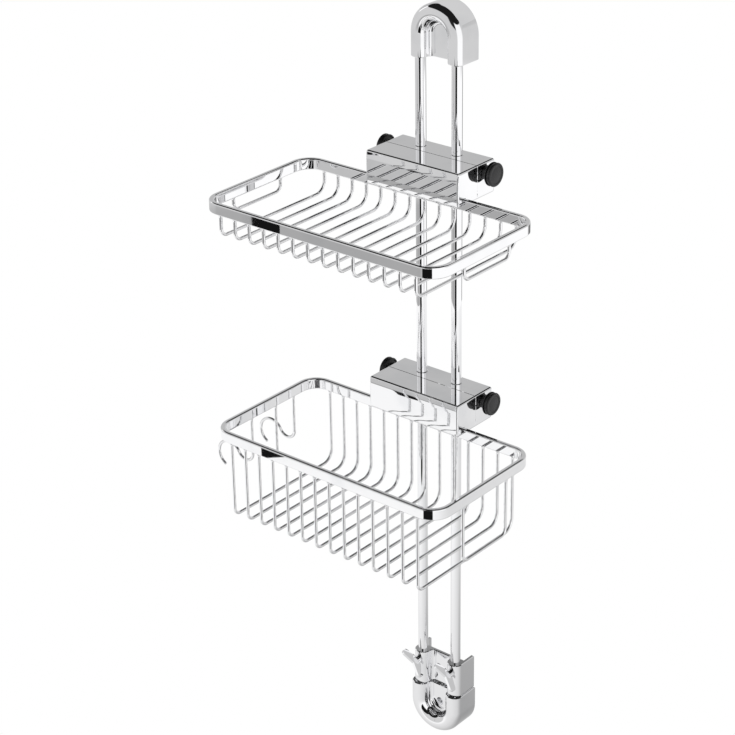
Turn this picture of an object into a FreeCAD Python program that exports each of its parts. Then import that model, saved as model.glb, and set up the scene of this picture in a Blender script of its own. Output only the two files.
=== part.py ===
import FreeCAD, Part
import os
import re
import Sketcher
from FreeCAD import Placement, Rotation, Vector

# Wall-hung shower caddy: two chrome rods between an arched top bracket and a U-shaped
# lower bracket, and two wire baskets that slide on the rods and are locked by knobs.
#
# Frame: millimetres, +Z up, +X to the right, +Y into the wall. The wall is the plane
# Y = 0 and the object stands on the -Y side of it. The origin is the centre of the
# upper wall hole at the wall; X = 0 is midway between the rods.

SIZES = {
    # rods and where they stand
    "rod_diameter": 10.0,
    "rod_spacing": 41.0,
    "rod_standoff": 20.0,        # wall to rod axis
    "rod_bevel": 0.8,
    "rod_end_gap": 0.6,
    "wall_hole_spacing": 702.0,  # upper to lower wall hole
    # brackets
    "leg_width": 16.5,           # each bracket leg, centred on its rod
    "leg_front": 8.2,            # rod axis to the front of a leg
    "leg_flat": 0.5,             # half of the flat left between a leg's rounded edges
    "web_depth": 16.0,           # wall to the front of the web between the legs
    "web_round_share": 0.9,      # part of a leg's straight inner side taken by the web's round corner
    "leg_drop": 22.5,            # upper wall hole to the ends of the arch's legs
    "socket_depth": 20.0,        # rod inside an arch leg
    "foot_depth": 8.0,           # rod inside the lower bracket's body
    "seam_rise": 19.5,           # lower wall hole up to the clamp's seam
    "body_side_proud": 1.5,      # how far the lower body stands out past the clamp
    "body_front_proud": 3.0,
    "clamp_height": 37.0,
    "clamp_wall": 3.0,           # sides and web of the hollow clamp
    "bracket_bevel": 0.6,
    "wall_hole_diameter": 5.2,
    "recess_diameter": 8.2,
    "recess_depth": 7.0,         # in the lower bracket
    "plate_recess_depth": 4.0,
    "plate_width": 20.0,
    "plate_depth": 10.0,
    "plate_gap": 0.2,
    "rib_reach": 1.8,
    "rib_width": 3.0,
    "rib_back": 3.0,             # wall to the plate's ribs
    "rib_height": 20.0,
    "rib_gap": 0.15,
    # wing screws
    "wing_thread": 5.0,
    "wing_drop": 9.5,            # clamp's top to the screw's axis
    "wing_hub_diameter": 8.4,
    "wing_hub_length": 4.6,
    "wing_hub_gap": 0.4,
    "wing_reach": 13.0,          # screw's axis to the centre of a wing's tip
    "wing_flare": 5.0,           # how far a tip leans forwards
    "wing_root_round": 4.0,
    "wing_tip_round": 3.2,
    "wing_thickness": 3.0,
    "wing_turn": -45.0,          # degrees that the upper wings lean to the right of upright
    # sliders
    "slider_width": 105.0,
    "slider_height": 32.0,
    "slider_behind": 13.5,       # rod axis to the block's back
    "slider_before": 12.0,       # rod axis to the seam with the front cover
    "cover_depth": 28.0,         # seam to the flat of the crowned front
    "cover_crown": 0.6,          # how far the flat of the front stands out past its edges
    "cover_bend": 9.0,           # height over which the front bends back at its top and bottom
    "cover_wall": 2.5,
    "slider_round": 1.8,
    "seam_bevel": 0.35,
    "upper_slider_drop": 106.5,  # upper wall hole to the slider's top
    "lower_slider_drop": 333.2,
    "running_gap": 0.06,         # round rods, spindles and screws that turn or slide
    "bore_bevel": 0.8,
    # knobs, their spindles and the pads that press on the rods
    "knob_drop": 9.6,            # slider's top to the knob's axis
    "knob_diameter": 22.0,
    "knob_thickness": 6.4,
    "knob_round": 1.5,
    "stem_diameter": 13.0,
    "stem_length": 5.4,
    "stem_gap": 0.4,
    "spindle_diameter": 6.0,
    "spindle_grip": 8.0,         # spindle inside the knob
    "pad_thickness": 3.0,
    # screws that hold the front cover and the rim to the block
    "screw_diameter": 4.0,
    "screw_spacing": 72.0,
    "screw_drop": 28.4,          # slider's top to the screws
    "screw_head_diameter": 6.8,
    "screw_head_height": 3.6,
    "screw_key": 3.0,
    "screw_key_depth": 2.0,
    "screw_bite": 3.6,           # screw inside the rim
    "screw_gap": 0.1,
    "boss_diameter": 7.2,
    # rims
    "basket_width": 265.0,
    "basket_depth": 144.4,
    "rim_set_out": 29.2,         # rod axis to the rim's back face
    "rim_drop": 25.0,            # slider's top to the rim's top
    "rim_thickness": 4.8,
    "rim_height": 10.7,
    "rim_corner": 20.0,
    "rim_top_round": 1.5,
    "rim_foot_round": 1.0,
    "rim_slot_gap": 0.15,
    # basket wires, depths taken from the rim's top to the wire's centre
    "wire_diameter": 3.0,
    "wire_pitch": 16.87,
    "upper_bowl_depth": 30.6,
    "lower_bowl_depth": 86.8,
    "front_bend": 7.0,
    "back_bend": 12.0,
    "loop_length": 63.0,
    "upper_loop_depth": 23.0,
    "lower_loop_depth": 67.3,
    "loop_bend": 6.5,
    # hooks and dropper wire on the lower basket's left side
    "hook_spacing": 59.8,
    "hook_shift": 9.2,           # hooks' middle behind the rim's middle
    "hook_drop": 49.3,           # rim's top to the centre of the hook's turn
    "turn_radius": 9.5,
    "crook_radius": 14.0,
    "crook_slope": 27.0,         # degrees below level from the turn to the crook
    "crook_end": 245.0,          # degrees round the crook where its tip is
    "tip_round": 1.0,
    "dropper_shift": 13.4,
    "dropper_depth": 63.0,
}
WIRES_PER_BASKET = 14
ON_PLANE = 0.01

doc = FreeCAD.newDocument("shower_caddy")
sheet = doc.addObject("Spreadsheet::Sheet", "Sizes")
for row, (alias, number) in enumerate(SIZES.items(), start=1):
    sheet.set("A%d" % row, str(number))
    sheet.setAlias("A%d" % row, alias)
doc.recompute()
pieces = []


# ---------------------------------------------------------------- sizes

def in_sheet(text):
    """The expression with the sheet's name before each of its aliases."""
    return re.sub("[a-z_]+", lambda word: "Sizes." + word[0] if word[0] in SIZES else word[0], text)


def value(text):
    """The expression's number."""
    return float(sheet.evalExpression(in_sheet(text)))


def bind(item, **properties):
    """Bind properties to expressions; a double underscore stands for a dot."""
    for name, text in properties.items():
        item.setExpression(name.replace("__", "."), in_sheet(text))


def place(item, east="0", north="0", up="0", axis=Vector(0, 0, 1), turn="0"):
    """Bind where a piece stands and how far it is turned about the axis."""
    item.Placement = Placement(Vector(), Rotation(axis, 0))
    item.Placement.Rotation.Axis = axis
    bind(item, Placement__Base__x=east, Placement__Base__y=north, Placement__Base__z=up)
    if turn != "0":
        bind(item, Placement__Rotation__Angle=turn, Placement__Rotation__Axis__x=str(axis.x),
             Placement__Rotation__Axis__y=str(axis.y), Placement__Rotation__Axis__z=str(axis.z))


# ---------------------------------------------------------------- sketches

def new_body(name):
    """A body that becomes the piece of that name."""
    body = doc.addObject("PartDesign::Body", name)
    body.Label = name
    pieces.append(body)
    return body


def new_sketch(body, plane, offset="0"):
    """A sketch on one of the body's own origin planes, moved off it along its normal."""
    sketch = body.newObject("Sketcher::SketchObject", body.Name + "_sketch")
    role = plane + "_Plane"
    support = [item for item in body.Origin.OriginFeatures if item.Role == role][0]
    sketch.AttachmentSupport = [(support, "")]
    sketch.MapMode = "FlatFace"
    bind(sketch, AttachmentOffset__Base__z=offset)
    return sketch


def dimension(sketch, kind, where, text):
    """A dimension bound to an expression."""
    index = sketch.addConstraint(Sketcher.Constraint(kind, *where, value(text)))
    sketch.setExpression("Constraints[%d]" % index, in_sheet(text))


def pin(sketch, index, point, across, along):
    """A point of the sketch held at two distances from its origin."""
    dimension(sketch, "DistanceX", (-1, 1, index, point), across)
    dimension(sketch, "DistanceY", (-1, 1, index, point), along)


def circle(sketch, across, along, diameter):
    """A circle held by its centre and diameter."""
    centre = Vector(value(across), value(along), 0)
    index = sketch.addGeometry(Part.Circle(centre, Vector(0, 0, 1), value(diameter) / 2))
    pin(sketch, index, 3, across, along)
    dimension(sketch, "Diameter", (index,), diameter)


def arc(sketch, centre, radius, start, stop):
    """An anticlockwise arc between two angles in degrees."""
    full = Part.Circle(centre, Vector(0, 0, 1), radius)
    bent = FreeCAD.Units.Quantity("1 deg").getValueAs("rad").Value
    return sketch.addGeometry(Part.ArcOfCircle(full, start * bent, stop * bent))


def bearing(vector):
    """Degrees from the sketch's own X, 0 to 360."""
    angle = Vector(1, 0, 0).getAngle(vector) / FreeCAD.Units.Quantity("1 deg").getValueAs("rad").Value
    return angle if vector.y >= 0 else 360 - angle


def outline(sketch, sides, radii, ends=None):
    """Level and upright sides joined by corners that are sharp or round.

    A side is ("x", place) if it is upright and ("y", place) if it is level. Each radius is
    that of the corner after its side, None if sharp. With ends, the two places where the
    first and the last side stop, the outline is an open path.
    """
    count = len(sides)
    joints = count - 1 if ends else count
    corners = []
    for number in range(joints):
        spot = {}
        for name, text in (sides[number], sides[(number + 1) % count]):
            spot[name] = value(text)
        corners.append(Vector(spot["x"], spot["y"], 0))
    marks = [corners[-1]] + corners
    if ends:
        stops = [corners[0] * 1, corners[-1] * 1]
        for point, (name, _), text in zip(stops, (sides[0], sides[-1]), ends):
            setattr(point, "y" if name == "x" else "x", value(text))
        marks = [stops[0]] + corners + [stops[1]]
    trims = [value(radius) if radius else 0.0 for radius in radii]
    if ends:
        trims.append(0.0)
    lines = []
    for number, (name, text) in enumerate(sides):
        run = (marks[number + 1] - marks[number]).normalize()
        first = marks[number] + run * trims[number - 1]
        last = marks[number + 1] - run * trims[number]
        lines.append(sketch.addGeometry(Part.LineSegment(first, last)))
        sketch.addConstraint(Sketcher.Constraint("Vertical" if name == "x" else "Horizontal", lines[-1]))
        dimension(sketch, "Distance" + name.upper(), (-1, 1, lines[-1], 1), text)
    for number in range(joints):
        here, there = lines[number], lines[(number + 1) % count]
        if not radii[number]:
            sketch.addConstraint(Sketcher.Constraint("Coincident", here, 2, there, 1))
            continue
        first = sketch.Geometry[here].EndPoint
        last = sketch.Geometry[there].StartPoint
        centre = first + last - corners[number]
        left_turn = (corners[number] - first).cross(last - corners[number]).z > 0
        low, high = (first, last) if left_turn else (last, first)
        start, stop = bearing(low - centre), bearing(high - centre)
        bend = arc(sketch, centre, trims[number], start, stop if stop > start else stop + 360)
        near, far = (1, 2) if left_turn else (2, 1)
        sketch.addConstraint(Sketcher.Constraint("Tangent", here, 2, bend, near))
        sketch.addConstraint(Sketcher.Constraint("Tangent", bend, far, there, 1))
        dimension(sketch, "Radius", (bend,), radii[number])
    if ends:
        for line, point, (name, _), text in zip((lines[0], lines[-1]), (1, 2), (sides[0], sides[-1]), ends):
            dimension(sketch, "DistanceY" if name == "x" else "DistanceX", (-1, 1, line, point), text)


def box_outline(sketch, left, right, low, high):
    """A rectangle held by its four sides."""
    outline(sketch, [("x", left), ("y", high), ("x", right), ("y", low)], [None] * 4)


# ---------------------------------------------------------------- features

def extrude(body, kind, sketch, length, backwards=False):
    """A pad or a pocket of the sketch, with its length bound."""
    feature = body.newObject("PartDesign::" + kind, body.Name + "_" + kind.lower())
    feature.Profile = sketch
    feature.Reversed = backwards
    bind(feature, Length=length)
    sketch.Visibility = False
    doc.recompute()
    return feature


def edges_on(body, axis, text):
    """Names of the edges so far that lie in the plane across the axis at that place."""
    found = []
    for number, edge in enumerate(body.Tip.Shape.Edges, start=1):
        reach = edge.BoundBox
        ends = [getattr(reach, axis + "Min"), getattr(reach, axis + "Max")]
        if all(abs(end - value(text)) < ON_PLANE for end in ends):
            found.append("Edge%d" % number)
    return found


def dress(body, kind, size, names):
    """A fillet or a chamfer of the edges, with its size bound."""
    before = body.Tip
    feature = body.newObject("PartDesign::" + kind, body.Name + "_" + kind.lower())
    feature.Base = (before, names)
    bind(feature, **{"Radius" if kind == "Fillet" else "Size": size})
    doc.recompute()


def other_edges(body, names):
    """Names of all the edges so far except the ones given."""
    count = len(body.Tip.Shape.Edges)
    return ["Edge%d" % number for number in range(1, count + 1) if "Edge%d" % number not in names]


def sweep(body, path, across, along, up):
    """A round wire whose centre follows the path, starting at a level cut."""
    section = new_sketch(body, "XY", up)
    circle(section, across, along, "wire_diameter")
    pipe = body.newObject("PartDesign::AdditivePipe", body.Name + "_pipe")
    pipe.Profile = section
    pipe.Spine = path
    path.Visibility = section.Visibility = False
    doc.recompute()


# ---------------------------------------------------------------- rods and brackets

LEG_IN = "(rod_spacing / 2 - leg_width / 2)"
LEG_FRONT = "(rod_standoff + leg_front)"
BODY_WEB = "(web_depth + body_front_proud)"


def half_section(side_proud, front_proud):
    """Sides and corner radii of the legs' section from the middle of the web to the right leg's back."""
    front = "(%s + %s)" % (LEG_FRONT, front_proud)
    web = "(web_depth + %s)" % front_proud
    leg_round = "((leg_width + %s) / 2 - leg_flat)" % side_proud
    web_round = "(web_round_share * (%s - %s - %s))" % (front, web, leg_round)
    out = "(%s + leg_width + %s)" % (LEG_IN, side_proud)
    sides = [("y", "-" + web), ("x", LEG_IN), ("y", "-" + front), ("x", out)]
    return sides, [web_round, leg_round, leg_round]


def legs_outline(sketch, side_proud="0", front_proud="0"):
    """Two legs, flat at the wall and round at the front, and the web between them."""
    sides, radii = half_section(side_proud, front_proud)
    mirrored = [(name, "-" + text if name == "x" else text) for name, text in reversed(sides[1:])]
    outline(sketch, mirrored + sides + [("y", "0")], radii[::-1] + radii + [None, None])


def half_turn(body, upwards, side_proud="0", front_proud="0"):
    """Half of the legs' section swept half way round the wall hole's axis, from leg to leg."""
    sketch = new_sketch(body, "XY")
    sides, radii = half_section(side_proud, front_proud)
    outline(sketch, [("x", "0")] + sides + [("y", "0")], [None] + radii + [None, None])
    turn = body.newObject("PartDesign::Revolution", body.Name + "_turn")
    turn.Profile = sketch
    turn.ReferenceAxis = (sketch, ["V_Axis"])
    turn.Angle = 180
    turn.Reversed = upwards
    sketch.Visibility = False
    doc.recompute()


def rod_bores(body, depth, start, upwards=False):
    """Two bores along the rods from a level plane."""
    sketch = new_sketch(body, "XY", start)
    for side in ("-", ""):
        circle(sketch, side + "rod_spacing / 2", "-rod_standoff", "rod_diameter")
    extrude(body, "Pocket", sketch, depth, upwards)


def wall_hole(body, front, recess):
    """A hole to the wall with a recess for a screw's head."""
    for diameter, depth in (("wall_hole_diameter", front), ("recess_diameter", recess)):
        sketch = new_sketch(body, "XZ", front)
        circle(sketch, "0", "0", diameter)
        extrude(body, "Pocket", sketch, depth)


def make_rod(name, side):
    body = new_body(name)
    sketch = new_sketch(body, "XY")
    circle(sketch, "0", "0", "rod_diameter")
    length = "wall_hole_spacing - leg_drop + socket_depth - seam_rise + foot_depth"
    extrude(body, "Pad", sketch, length)
    dress(body, "Chamfer", "rod_bevel", edges_on(body, "Z", "0") + edges_on(body, "Z", length))
    place(body, side + "rod_spacing / 2", "-rod_standoff", "seam_rise - foot_depth - wall_hole_spacing")


def plate_solid(body, kind, grow, deep):
    """The wall plate's own shape, or with kind Pocket the room for it: round above, ribs at its sides."""
    edge = "(plate_width / 2 + %s)" % grow
    backwards = kind == "Pocket"
    disc = new_sketch(body, "XZ")
    circle(disc, "0", "0", "2 * " + edge)
    extrude(body, kind, disc, deep, backwards)
    skirt = new_sketch(body, "XZ")
    box_outline(skirt, "-" + edge, edge, "-leg_drop", "0")
    extrude(body, kind, skirt, deep, backwards)


def rib_solid(body, kind, grow):
    """A bar across the plate whose ends are its ribs, or the room for it, shut at the same height."""
    reach = "(plate_width / 2 + rib_reach + %s)" % grow
    sketch = new_sketch(body, "XZ", "rib_back - " + grow)
    box_outline(sketch, "-" + reach, reach, "-leg_drop", "rib_height - leg_drop")
    extrude(body, kind, sketch, "rib_width + 2 * " + grow, kind == "Pocket")


def make_top_cover():
    body = new_body("top_bracket_cover")
    half_turn(body, True)
    sketch = new_sketch(body, "XY")
    legs_outline(sketch)
    extrude(body, "Pad", sketch, "leg_drop", True)
    dress(body, "Chamfer", "bracket_bevel", edges_on(body, "Z", "-leg_drop"))
    rod_bores(body, "socket_depth + rod_end_gap", "-leg_drop", True)
    plate_solid(body, "Pocket", "plate_gap", "plate_depth + plate_gap")
    rib_solid(body, "Pocket", "rib_gap")


def make_wall_plate():
    body = new_body("top_wall_plate")
    plate_solid(body, "Pad", "0", "plate_depth")
    rib_solid(body, "Pad", "0")
    wall_hole(body, "plate_depth", "plate_recess_depth")


def make_lower_body():
    body = new_body("lower_bracket_body")
    half_turn(body, False, "body_side_proud", "body_front_proud")
    sketch = new_sketch(body, "XY")
    legs_outline(sketch, "body_side_proud", "body_front_proud")
    extrude(body, "Pad", sketch, "seam_rise")
    dress(body, "Chamfer", "bracket_bevel", edges_on(body, "Z", "seam_rise"))
    rod_bores(body, "foot_depth", "seam_rise")
    wall_hole(body, BODY_WEB, "recess_depth")
    place(body, up="-wall_hole_spacing")


def make_clamp():
    body = new_body("lower_bracket_clamp")
    sketch = new_sketch(body, "XY")
    legs_outline(sketch)
    extrude(body, "Pad", sketch, "clamp_height")
    dress(body, "Chamfer", "bracket_bevel", edges_on(body, "Z", "0") + edges_on(body, "Z", "clamp_height"))
    hollow = new_sketch(body, "XY")
    inside = "(rod_spacing / 2 + leg_width / 2 - clamp_wall)"
    box_outline(hollow, "-" + inside, inside, "clamp_wall - web_depth", "0")
    extrude(body, "Pocket", hollow, "clamp_height", True)
    rod_bores(body, "clamp_height", "clamp_height")
    threads = new_sketch(body, "XZ", LEG_FRONT)
    for side in ("-", ""):
        circle(threads, side + "rod_spacing / 2", "clamp_height - wing_drop", "wing_thread + 2 * running_gap")
    extrude(body, "Pocket", threads, "leg_front")
    place(body, up="seam_rise - wall_hole_spacing")


def make_wing_screw(name, side):
    """A hub with two wings that flare forwards, and a shank that ends at the rod."""
    body = new_body(name)
    back = "(leg_front + wing_hub_gap)"
    hub = new_sketch(body, "XZ", back)
    circle(hub, "0", "0", "wing_hub_diameter")
    extrude(body, "Pad", hub, "wing_hub_length")
    shank = new_sketch(body, "XZ", "rod_diameter / 2 + running_gap")
    circle(shank, "0", "0", "wing_thread")
    extrude(body, "Pad", shank, "%s + wing_hub_length / 2 - rod_diameter / 2 - running_gap" % back)
    root = "(%s + wing_root_round)" % back
    for way in ("", "-"):
        wing = new_sketch(body, "YZ", "-wing_thickness / 2")
        tip = ("-%s - wing_flare" % root, way + "wing_reach", "wing_tip_round")
        ear(wing, ("-" + root, "0", "wing_root_round"), tip)
        extrude(body, "Pad", wing, "wing_thickness")
    place(body, side + "rod_spacing / 2", "-rod_standoff",
          "seam_rise + clamp_height - wing_drop - wall_hole_spacing", Vector(0, 1, 0), "wing_turn")


def ear(sketch, root, tip):
    """A large round and a small round joined by straight sides, each given by its centre and radius."""
    rounds = (root, tip)
    centres = [Vector(value(across), value(along), 0) for across, along, _ in rounds]
    sizes = [value(radius) for _, _, radius in rounds]
    span = centres[1] - centres[0]
    run = bearing(span)
    taper = sizes[0] - sizes[1]
    quarter = 90 - bearing(Vector((span.Length ** 2 - taper ** 2) ** 0.5, taper, 0))
    ends = [arc(sketch, centres[0], sizes[0], run + quarter, run + 360 - quarter),
            arc(sketch, centres[1], sizes[1], run - quarter, run + quarter)]
    for index, (across, along, radius) in zip(ends, rounds):
        pin(sketch, index, 3, across, along)
        dimension(sketch, "Radius", (index,), radius)
    for first, last in (ends, ends[::-1]):
        side = Part.LineSegment(sketch.Geometry[first].EndPoint, sketch.Geometry[last].StartPoint)
        line = sketch.addGeometry(side)
        sketch.addConstraint(Sketcher.Constraint("Tangent", first, 2, line, 1))
        sketch.addConstraint(Sketcher.Constraint("Tangent", line, 2, last, 1))


# ---------------------------------------------------------------- sliders

SIDES = (("left", "-", 180), ("right", "", 0))


def dress_slider(body):
    """Bevel the edges of the seam side and round all the others."""
    seam = edges_on(body, "Y", "-slider_before")
    dress(body, "Fillet", "slider_round", other_edges(body, seam))
    dress(body, "Chamfer", "seam_bevel", edges_on(body, "Y", "-slider_before"))


def screw_bores(body, start, diameter, depth):
    """Two bores for the screws, going forwards from the plane that far in front of the rods."""
    sketch = new_sketch(body, "XZ", start)
    for side in ("-", ""):
        circle(sketch, side + "screw_spacing / 2", "-screw_drop", diameter)
    extrude(body, "Pocket", sketch, depth, True)


def make_block(name, top):
    body = new_body(name)
    sketch = new_sketch(body, "XZ", "-slider_behind")
    box_outline(sketch, "-slider_width / 2", "slider_width / 2", "-slider_height", "0")
    extrude(body, "Pad", sketch, "slider_behind + slider_before")
    dress_slider(body)
    bores = new_sketch(body, "XY")
    for side in ("-", ""):
        circle(bores, side + "rod_spacing / 2", "0", "rod_diameter + 2 * running_gap")
    extrude(body, "Pocket", bores, "slider_height")
    rings = [edge for edge in edges_on(body, "Z", "0") + edges_on(body, "Z", "-slider_height")
             if "Circle" in body.Tip.Shape.getElement(edge).Curve.TypeId
             and body.Tip.Shape.getElement(edge).BoundBox.XLength > value("rod_diameter")]
    dress(body, "Chamfer", "bore_bevel", rings)
    for _, side, angle in SIDES:
        bore = new_sketch(body, "YZ", side + "slider_width / 2")
        circle(bore, "0", "-knob_drop", "spindle_diameter + 2 * running_gap")
        extrude(body, "Pocket", bore, "slider_width / 2 - rod_spacing / 2", angle > 0)
    back = "-slider_behind"
    screw_bores(body, back, "screw_diameter + 2 * screw_gap", "slider_behind + slider_before")
    screw_bores(body, back, "screw_head_diameter + 2 * screw_gap", "screw_head_height + screw_gap")
    place(body, "0", "-rod_standoff", top)


def crowned_box(body):
    """The cover's box, drawn from the side: its front is flat in the middle and bends back above and below."""
    sketch = new_sketch(body, "YZ", "-slider_width / 2")
    front = "-slider_before - cover_depth"
    edge = front + " + cover_crown"
    sides = [("y", "-slider_height"), ("x", "-slider_before"), ("y", "0")]
    outline(sketch, sides, [None, None], (edge, edge))
    radius = "((cover_bend ^ 2 + cover_crown ^ 2) / (2 * cover_crown))"
    upper = Vector(value(front + " + " + radius), value("-cover_bend"), 0)
    lower = Vector(upper.x, value("cover_bend - slider_height"), 0)
    last = sketch.GeometryCount - 1
    start = bearing(sketch.Geometry[last].EndPoint - upper)
    upper_bend = arc(sketch, upper, value(radius), start, 180)
    flat_ends = [Vector(value(front), point.y, 0) for point in (upper, lower)]
    flat = sketch.addGeometry(Part.LineSegment(*flat_ends))
    lower_bend = arc(sketch, lower, value(radius), 180, 360 - start)
    sketch.addConstraint(Sketcher.Constraint("Coincident", last, 2, upper_bend, 1))
    sketch.addConstraint(Sketcher.Constraint("Vertical", flat))
    sketch.addConstraint(Sketcher.Constraint("Tangent", upper_bend, 2, flat, 1))
    sketch.addConstraint(Sketcher.Constraint("Tangent", flat, 2, lower_bend, 1))
    sketch.addConstraint(Sketcher.Constraint("Coincident", lower_bend, 2, 0, 1))
    dimension(sketch, "DistanceX", (-1, 1, flat, 1), front)
    for bend in (upper_bend, lower_bend):
        dimension(sketch, "Radius", (bend,), radius)
    extrude(body, "Pad", sketch, "slider_width")


def make_cover(name, top):
    body = new_body(name)
    crowned_box(body)
    dress_slider(body)
    hollow = new_sketch(body, "XZ", "slider_before")
    box_outline(hollow, "cover_wall - slider_width / 2", "slider_width / 2 - cover_wall",
                "cover_wall - slider_height", "-cover_wall")
    extrude(body, "Pocket", hollow, "cover_depth - cover_wall", True)
    bosses = new_sketch(body, "XZ", "slider_before")
    for side in ("-", ""):
        circle(bosses, side + "screw_spacing / 2", "-screw_drop", "boss_diameter")
    extrude(body, "Pad", bosses, "rim_set_out - slider_before")
    notch = new_sketch(body, "YZ", "-slider_width / 2")
    box_outline(notch, "-rim_set_out - rim_thickness - rim_slot_gap", "-rim_set_out",
                "-slider_height", "rim_slot_gap - rim_drop")
    extrude(body, "Pocket", notch, "slider_width", True)
    screw_bores(body, "slider_before", "screw_diameter + 2 * screw_gap", "rim_set_out - slider_before")
    place(body, "0", "-rod_standoff", top)


def make_knob(name, angle, top):
    body = new_body(name)
    start = "(slider_width / 2 + stem_gap)"
    head = new_sketch(body, "YZ", start + " + stem_length")
    circle(head, "0", "0", "knob_diameter")
    extrude(body, "Pad", head, "knob_thickness")
    faces = (start + " + stem_length", start + " + stem_length + knob_thickness")
    dress(body, "Fillet", "knob_round", edges_on(body, "X", faces[0]) + edges_on(body, "X", faces[1]))
    stem = new_sketch(body, "YZ", start)
    circle(stem, "0", "0", "stem_diameter")
    extrude(body, "Pad", stem, "stem_length + knob_thickness / 2")
    hole = new_sketch(body, "YZ", start)
    circle(hole, "0", "0", "spindle_diameter")
    extrude(body, "Pocket", hole, "spindle_grip", True)
    place(body, "0", "-rod_standoff", top + " - knob_drop", turn=str(angle))


PAD_START = "(rod_spacing / 2 + rod_diameter / 2 + running_gap)"


def make_spindle(name, angle, top):
    body = new_body(name)
    start = "(%s + pad_thickness + running_gap)" % PAD_START
    sketch = new_sketch(body, "YZ", start)
    circle(sketch, "0", "0", "spindle_diameter")
    extrude(body, "Pad", sketch, "slider_width / 2 + stem_gap + spindle_grip - " + start)
    place(body, "0", "-rod_standoff", top + " - knob_drop", turn=str(angle))


def cylinder(name, diameter, height):
    item = doc.addObject("Part::Cylinder", name)
    bind(item, Radius=diameter + " / 2", Height=height)
    return item


def group(name, members):
    """Separate solids that make one piece."""
    item = doc.addObject("Part::Compound", name)
    item.Label = name
    item.Links = members
    pieces.append(item)


def make_pads(name, top):
    """The pads fill the spindle bores between the spindles and the rods."""
    pads = []
    for side in ("left", "right"):
        pad = cylinder("%s_%s" % (name, side), "(spindle_diameter + 2 * running_gap)", "pad_thickness")
        start = PAD_START if side == "right" else "-%s - pad_thickness" % PAD_START
        pad.Placement = Placement(Vector(), Rotation(Vector(0, 1, 0), 90))
        bind(pad, Placement__Base__x=start, Placement__Base__y="-rod_standoff",
             Placement__Base__z=top + " - knob_drop")
        pads.append(pad)
    group(name, pads)


def make_screws(name, top):
    """Socket-head screws from the back of the block into the rim."""
    screws = []
    for side, sign, _ in SIDES:
        label = "%s_%s" % (name, side)
        length = "slider_behind - screw_gap - screw_head_height / 2 + rim_set_out + screw_bite"
        shank = cylinder(label + "_shank", "screw_diameter", length)
        bind(shank, Placement__Base__z="screw_head_height / 2")
        head = cylinder(label + "_head", "screw_head_diameter", "screw_head_height")
        whole = doc.addObject("Part::Fuse", label + "_whole")
        whole.Base, whole.Tool = head, shank
        key = doc.addObject("Part::Prism", label + "_key")
        key.Polygon = 6
        bind(key, Circumradius="screw_key / 2 / cos(30)", Height="screw_key_depth")
        screw = doc.addObject("Part::Cut", label)
        screw.Base, screw.Tool = whole, key
        screw.Placement = Placement(Vector(), Rotation(Vector(1, 0, 0), 90))
        bind(screw, Placement__Base__x=sign + "screw_spacing / 2",
             Placement__Base__y="slider_behind - screw_gap - rod_standoff",
             Placement__Base__z=top + " - screw_drop")
        screws.append(screw)
    group(name, screws)


# ---------------------------------------------------------------- baskets

RIM_BACK = "(-rim_set_out)"
RIM_FRONT = "(-rim_set_out - basket_depth)"
WIRE_BACK = "(-rim_set_out - rim_thickness / 2)"
WIRE_FRONT = "(-rim_set_out - basket_depth + rim_thickness / 2)"
RIM_MIDDLE = "(-rim_set_out - basket_depth / 2)"
RIM_SIDE = "(basket_width / 2 - rim_thickness / 2)"


def make_rim(name, top):
    """A flat bar bent into a rectangle, with threaded holes in its back run."""
    body = new_body(name)
    sketch = new_sketch(body, "XY", "-rim_height")
    for inset in ("0", "rim_thickness"):
        sides = [("x", "%s - basket_width / 2" % inset), ("y", "%s - %s" % (RIM_BACK, inset)),
                 ("x", "basket_width / 2 - %s" % inset), ("y", "%s + %s" % (RIM_FRONT, inset))]
        outline(sketch, sides, ["rim_corner - " + inset] * 4)
    extrude(body, "Pad", sketch, "rim_height")
    dress(body, "Fillet", "rim_top_round", edges_on(body, "Z", "0"))
    dress(body, "Fillet", "rim_foot_round", edges_on(body, "Z", "-rim_height"))
    holes = new_sketch(body, "XZ", "rim_set_out")
    for side in ("-", ""):
        circle(holes, side + "screw_spacing / 2", "rim_drop - screw_drop", "screw_diameter")
    extrude(body, "Pocket", holes, "screw_bite", True)
    place(body, "0", "-rod_standoff", top + " - rim_drop")


def make_bent_wire(name, across, sides, bends, top):
    """A wire bent in an upright plane that faces sideways, its two ends against the rim."""
    body = new_body(name)
    path = new_sketch(body, "YZ")
    outline(path, sides, bends, ("-rim_height", "-rim_height"))
    sweep(body, path, "0", sides[0][1], "-rim_height")
    place(body, across, "-rod_standoff", top + " - rim_drop")


def make_wires(prefix, depth, top):
    sides = [("x", WIRE_BACK), ("y", "-" + depth), ("x", WIRE_FRONT)]
    for number in range(WIRES_PER_BASKET):
        across = "%.1f * wire_pitch" % (number - (WIRES_PER_BASKET - 1) / 2)
        make_bent_wire("%s_%02d" % (prefix, number + 1), across, sides, ["back_bend", "front_bend"], top)


def make_loop(name, side, depth, top):
    back, front = RIM_MIDDLE + " + loop_length / 2", RIM_MIDDLE + " - loop_length / 2"
    sides = [("x", back), ("y", "-" + depth), ("x", front)]
    make_bent_wire(name, side + RIM_SIDE, sides, ["loop_bend", "loop_bend"], top)


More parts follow.
